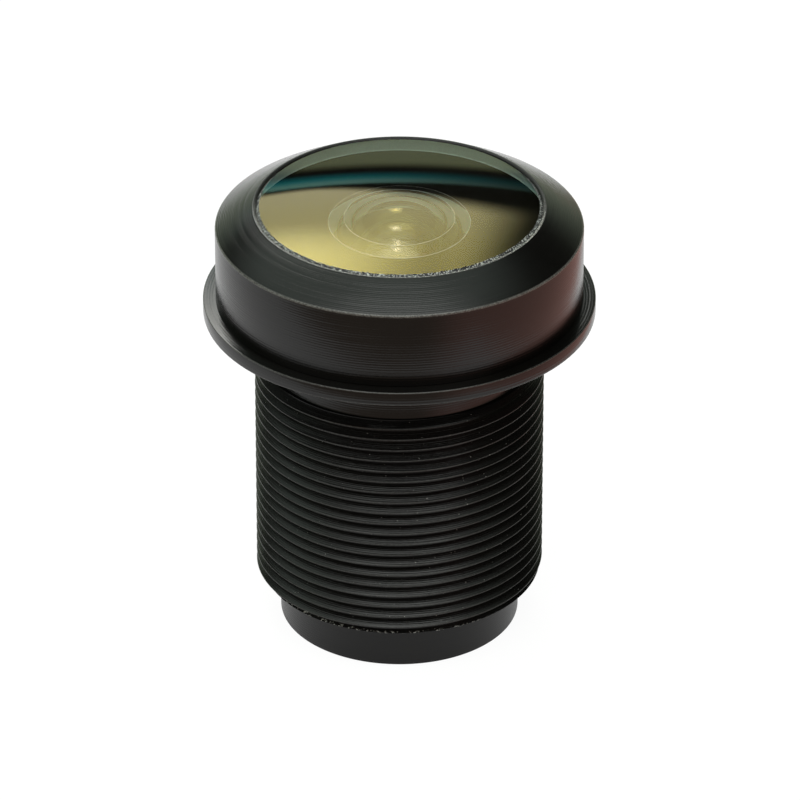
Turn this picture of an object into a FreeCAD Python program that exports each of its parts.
import FreeCAD, Part

import os
from math import copysign, sqrt

# M12 board camera lens: a wide-angle lens whose glass elements and spacers are stacked in one
# turned barrel, with an M12 x 0.5 thread that screws into the lens holder of a camera board.
# The lens axis is +Z, towards the front glass. The origin is the centre of the flat rear face,
# on which the lens stands. The fine threads are plain cylinders here, at their major diameter.
# Every size is in millimetres.

# Outside of the barrel, from the rear up
boss_length = 2.0
boss_step = 1.0
thread_d = 12.0
thread_length = 10.2
thread_end_chamfer = 0.25
neck_undercut = 0.45
neck_length = 2.1
flange_thickness = 0.6
flange_step = 0.525
edge_break = 0.08

# Front cap, which screws over the barrel's head and holds the front glass down
cap_wall = 0.655
cap_face_drop = 0.93
cap_shoulder_drop = 0.1
cap_to_head_gap = 0.05
lip_overlap = 0.17
lip_depth = 0.14

# Front element: gently domed outside, with a deep hollow behind, which opens into a ground cone
front_d = 12.1
front_side = 1.866
front_bevel = 0.3
front_dome_radius = 50.0
front_hollow_d = 4.42
front_hollow_radius = 3.0
front_mouth_d = 5.68
front_mouth_depth = 0.45

# Second element: a meniscus with a small deep hollow
second_rim = 2.6
second_front_flat = 1.0
second_front_radius = 5.5
second_hollow_d = 4.4
second_hollow_radius = 3.0

# Third element: biconvex
third_rim = 1.85
third_front_flat = 0.7
third_front_radius = 8.0
third_rear_flat = 0.8
third_rear_radius = 6.0

# Fourth and fifth elements: a cemented pair
fourth_rim = 0.9
fourth_front_flat = 0.6
fourth_front_radius = 6.0
cement_radius = 5.0
fifth_rim = 2.4
fifth_rear_flat = 0.6
fifth_rear_radius = 12.0

# Sixth element: biconvex, nearest the sensor
sixth_rim = 1.2
sixth_front_flat = 1.1
sixth_front_radius = 5.5
sixth_rear_flat = 0.7
sixth_rear_radius = 9.0

# Spacers, shims and the aperture between the elements
shim_thickness = 0.05
front_spacer_length = 1.304
front_spacer_set_back = 0.1
web_thickness = 0.8
aperture_thickness = 0.1
aperture_d = 1.8

# Air gaps on the axis, which set the lengths of the spacers behind the barrel's web
third_to_aperture_gap = 0.46
aperture_to_fourth_gap = 0.5
fifth_to_sixth_gap = 0.41

# Rear end: a slotted ring holds the stack, and the filter sits in a shallow recess
ring_length = 1.0
ring_slot_width = 0.9
ring_slot_depth = 0.4
filter_thickness = 0.3
filter_setback = 0.35
filter_to_ring_gap = 0.35

# Walls of the barrel and widths of the ledges in its bore
boss_wall = 0.53
filter_ledge = 0.15
ring_ledge = 0.2
sixth_ledge = 0.7
neck_wall = 1.13
seal_width = 0.42
seal_height = 0.38
head_wall = 0.39

# Clearances: of a piece in its bore, of a screwed piece in its thread, and of a ring around glass
slip = 0.02
thread_gap = 0.02
glass_clearance = 0.05

# Radii at the rear, from the thread inwards
thread_r = thread_d / 2
boss_r = thread_r - boss_step
neck_r = thread_r - neck_undercut
filter_bore_r = boss_r - boss_wall
filter_r = filter_bore_r - slip
ring_bore_r = filter_bore_r - filter_ledge
ring_r = ring_bore_r - thread_gap
sixth_bore_r = ring_bore_r - ring_ledge
sixth_r = sixth_bore_r - slip
group_bore_r = sixth_bore_r - sixth_ledge
group_r = group_bore_r - slip
second_bore_r = neck_r - neck_wall
second_r = second_bore_r - slip

# Radii at the front, from the front glass outwards
front_r = front_d / 2
front_bore_r = front_r + slip
seal_bore_r = front_bore_r + seal_width + slip
head_r = seal_bore_r + head_wall
cap_bore_r = head_r + thread_gap
cap_r = cap_bore_r + cap_wall
flange_r = cap_r + flange_step
opening_r = front_r - lip_overlap
front_hollow_r = front_hollow_d / 2
front_mouth_r = front_mouth_d / 2
second_hollow_r = second_hollow_d / 2

# Edge radii of the polished surfaces, inside the flat ground rim of each element
second_front_r = second_r - second_front_flat
third_front_r = group_r - third_front_flat
third_rear_r = group_r - third_rear_flat
fourth_front_r = group_r - fourth_front_flat
fifth_rear_r = group_r - fifth_rear_flat
sixth_front_r = sixth_r - sixth_front_flat
sixth_rear_r = sixth_r - sixth_rear_flat
web_bore_r = third_front_r + glass_clearance


def bulge(radius, half_width):
    """How far a spherical surface stands above its edge. A negative radius bulges downwards."""
    return copysign(abs(radius) - sqrt(radius**2 - half_width**2), radius)


# Heights of the seats, stacked from the rear face to the front
z_filter = filter_setback
z_filter_ledge = z_filter + filter_thickness
z_ring = z_filter_ledge + filter_to_ring_gap
z_ring_top = z_ring + ring_length
z_sixth = z_ring_top + shim_thickness
z_ledge = z_sixth + sixth_rim
z_fifth = z_ledge + bulge(sixth_front_radius, sixth_front_r) + fifth_to_sixth_gap
z_cement = z_fifth + fifth_rim
z_fourth_top = z_cement + fourth_rim
z_aperture = z_fourth_top + bulge(fourth_front_radius, fourth_front_r) + aperture_to_fourth_gap
z_aperture_top = z_aperture + aperture_thickness
z_third = z_aperture_top + bulge(third_rear_radius, third_rear_r) + third_to_aperture_gap
z_third_top = z_third + third_rim
z_web = z_third_top + shim_thickness
z_web_top = z_web + web_thickness
z_second = z_web_top + shim_thickness
z_second_top = z_second + second_rim
z_shoulder = z_second_top + front_spacer_length
z_front = z_shoulder + shim_thickness
z_bevel = z_front + front_side

# Heights of the outside, where the cap's lip bears on the bevel of the front glass
z_thread_top = boss_length + thread_length
z_flange = z_thread_top + neck_length
z_flange_top = z_flange + flange_thickness
z_lip = z_bevel + lip_overlap
z_rim = z_lip + lip_depth
z_cap_side = z_rim - cap_face_drop
z_cap_web = z_cap_side - cap_shoulder_drop
z_head_top = z_cap_web - cap_to_head_gap
z_seal = z_cap_web - seal_height

ORIGIN = FreeCAD.Vector(0, 0, 0)
AXIS = FreeCAD.Vector(0, 0, 1)
FULL_TURN = 360


def at(corner):
    """The point at a corner's (radius, height), in the plane that is turned about the axis."""
    radius, height = corner
    return FreeCAD.Vector(radius, 0, height)


def turned(outline):
    """A solid turned from a closed outline of (radius, height) corners.

    An entry that holds two corners is an arc: it passes through the first and ends at the second.
    """

    def end_of(entry):
        return entry[-1] if isinstance(entry[0], tuple) else entry

    edges = []
    here = end_of(outline[-1])
    for entry in outline:
        there = end_of(entry)
        if entry is not there:
            edges.append(Part.Arc(at(here), at(entry[0]), at(there)).toShape())
        elif here != there:
            edges.append(Part.LineSegment(at(here), at(there)).toShape())
        here = there
    return Part.Face(Part.Wire(edges)).revolve(ORIGIN, AXIS, FULL_TURN)


def surface(z_edge, radius, edge_r):
    """Corners of a spherical surface: its apex on the axis, a point half way out, and its edge."""
    apex = z_edge + bulge(radius, edge_r)
    half_way = (edge_r / 2, apex - bulge(radius, edge_r / 2))
    return (0, apex), half_way, (edge_r, z_edge)


def element(side_r, z_rim_low, z_rim_top, front, rear):
    """A glass element with a flat ground rim. front and rear are (spherical radius, edge radius)."""
    front_apex, front_mid, front_edge = surface(z_rim_top, *front)
    rear_apex, rear_mid, rear_edge = surface(z_rim_low, *rear)
    return turned([
        front_apex,
        (front_mid, front_edge),
        (side_r, z_rim_top),
        (side_r, z_rim_low),
        rear_edge,
        (rear_mid, rear_apex),
    ])


def ring(inner_r, outer_r, z_low, z_high):
    """A plain ring of rectangular section."""
    return turned([(inner_r, z_low), (outer_r, z_low), (outer_r, z_high), (inner_r, z_high)])


def barrel():
    """Boss, thread, neck, flange and head in one turned piece, with a stepped bore for the stack."""
    chamfer_r = thread_r - thread_end_chamfer
    outside = [
        (boss_r - edge_break, 0),
        (boss_r, edge_break),
        (boss_r, boss_length),
        (chamfer_r, boss_length),
        (thread_r, boss_length + thread_end_chamfer),
        (thread_r, z_thread_top - thread_end_chamfer),
        (chamfer_r, z_thread_top),
        (neck_r, z_thread_top),
        (neck_r, z_flange),
        (flange_r - edge_break, z_flange),
        (flange_r, z_flange + edge_break),
        (flange_r, z_flange_top - edge_break),
        (flange_r - edge_break, z_flange_top),
        (head_r, z_flange_top),
        (head_r, z_head_top),
    ]
    front_seats = [
        (seal_bore_r, z_head_top),
        (seal_bore_r, z_seal),
        (front_bore_r, z_seal),
        (front_bore_r, z_shoulder),
        (second_bore_r, z_shoulder),
        (second_bore_r, z_web_top),
        (web_bore_r, z_web_top),
    ]
    rear_seats = [
        (web_bore_r, z_web),
        (group_bore_r, z_web),
        (group_bore_r, z_ledge),
        (sixth_bore_r, z_ledge),
        (sixth_bore_r, z_ring_top),
        (ring_bore_r, z_ring_top),
        (ring_bore_r, z_filter_ledge),
        (filter_bore_r, z_filter_ledge),
        (filter_bore_r, 0),
    ]
    return turned(outside + front_seats + rear_seats)


def front_cap():
    """The screwed cap: a straight side, a sloping face and a lip whose seat fits the glass's bevel."""
    seat_drop = front_bore_r - opening_r
    return turned([
        (cap_bore_r, z_flange_top),
        (cap_r - edge_break, z_flange_top),
        (cap_r, z_flange_top + edge_break),
        (cap_r, z_cap_side),
        (opening_r + edge_break, z_rim),
        (opening_r, z_rim - edge_break),
        (opening_r, z_lip),
        (front_bore_r, z_lip - seat_drop),
        (front_bore_r, z_cap_web),
        (cap_bore_r, z_cap_web),
    ])


def front_seal():
    """Square-section rubber ring, which fills the groove between the barrel, the glass and the cap."""
    return ring(front_bore_r, front_bore_r + seal_width, z_seal, z_cap_web)


def front_element():
    """The large outer glass, with a ground side and a ground bevel under the cap's lip."""
    dome = surface(z_bevel + front_bevel, front_dome_radius, front_r - front_bevel)
    hollow = surface(z_front + front_mouth_depth, front_hollow_radius, front_hollow_r)
    return turned([
        dome[0],
        (dome[1], dome[2]),
        (front_r, z_bevel),
        (front_r, z_front),
        (front_mouth_r, z_front),
        hollow[2],
        (hollow[1], hollow[0]),
    ])


def front_light_shim():
    """Black film ring behind the front glass, which masks everything outside the hollow's mouth."""
    return ring(front_mouth_r + glass_clearance, front_r, z_shoulder, z_front)


def front_spacer():
    """Ring between the front glass and the second element, with a bore that narrows to the front."""
    foot_r = second_front_r + glass_clearance
    mouth_r = front_mouth_r + front_spacer_set_back
    return turned([
        (foot_r, z_second_top),
        (second_r, z_second_top),
        (second_r, z_shoulder),
        (mouth_r, z_shoulder),
    ])


def second_element():
    """Small meniscus behind the front glass."""
    front = (second_front_radius, second_front_r)
    rear = (second_hollow_radius, second_hollow_r)
    return element(second_r, z_second, z_second_top, front, rear)


def second_light_shim():
    """Black film ring between the second element and the barrel's web."""
    return ring(second_hollow_r + glass_clearance, second_r, z_web_top, z_second)


def third_light_shim():
    """Black film ring between the barrel's web and the third element."""
    return ring(web_bore_r, group_r, z_third_top, z_web)


def third_element():
    """Biconvex element in front of the aperture."""
    front = (third_front_radius, third_front_r)
    rear = (-third_rear_radius, third_rear_r)
    return element(group_r, z_third, z_third_top, front, rear)


def stop_front_spacer():
    """Ring that holds the third element off the aperture."""
    return ring(third_rear_r + glass_clearance, group_r, z_aperture_top, z_third)


def aperture_disc():
    """Thin disc with the hole that sets the lens's speed."""
    return ring(aperture_d / 2, group_r, z_aperture, z_aperture_top)


def stop_rear_spacer():
    """Ring that holds the cemented pair off the aperture."""
    return ring(fourth_front_r + glass_clearance, group_r, z_fourth_top, z_aperture)


def fourth_element():
    """Front half of the cemented pair: biconvex."""
    front = (fourth_front_radius, fourth_front_r)
    return element(group_r, z_cement, z_fourth_top, front, (-cement_radius, group_r))


def fifth_element():
    """Rear half of the cemented pair, whose front fits the fourth element's rear."""
    rear = (fifth_rear_radius, fifth_rear_r)
    return element(group_r, z_fifth, z_cement, (-cement_radius, group_r), rear)


def rear_spacer():
    """Ring between the cemented pair and the sixth element."""
    return ring(sixth_front_r + glass_clearance, group_r, z_ledge, z_fifth)


def sixth_element():
    """Largest of the rear elements, seated on the barrel's rear ledge."""
    front = (sixth_front_radius, sixth_front_r)
    rear = (-sixth_rear_radius, sixth_rear_r)
    return element(sixth_r, z_sixth, z_ledge, front, rear)


def rear_light_shim():
    """Black film ring between the sixth element and the retaining ring."""
    return ring(sixth_rear_r + glass_clearance, sixth_r, z_ring_top, z_sixth)


def rear_retaining_ring():
    """Screwed ring that holds the stack in, with two slots for a spanner in its rear face."""
    body = ring(sixth_rear_r + glass_clearance, ring_r, z_ring, z_ring_top)
    corner = FreeCAD.Vector(-ring_r, -ring_slot_width / 2, z_ring)
    slots = Part.makeBox(2 * ring_r, ring_slot_width, ring_slot_depth, corner)
    return body.cut(slots)


def infrared_filter():
    """Thin round filter glass that closes the rear end."""
    return ring(0, filter_r, z_filter, z_filter_ledge)


PIECES = (
    barrel,
    front_cap,
    front_seal,
    front_element,
    front_light_shim,
    front_spacer,
    second_element,
    second_light_shim,
    third_light_shim,
    third_element,
    stop_front_spacer,
    aperture_disc,
    stop_rear_spacer,
    fourth_element,
    fifth_element,
    rear_spacer,
    sixth_element,
    rear_light_shim,
    rear_retaining_ring,
    infrared_filter,
)

os.makedirs("parts", exist_ok=True)
for make in PIECES:
    make().exportStep(f"parts/{make.__name__}.step")
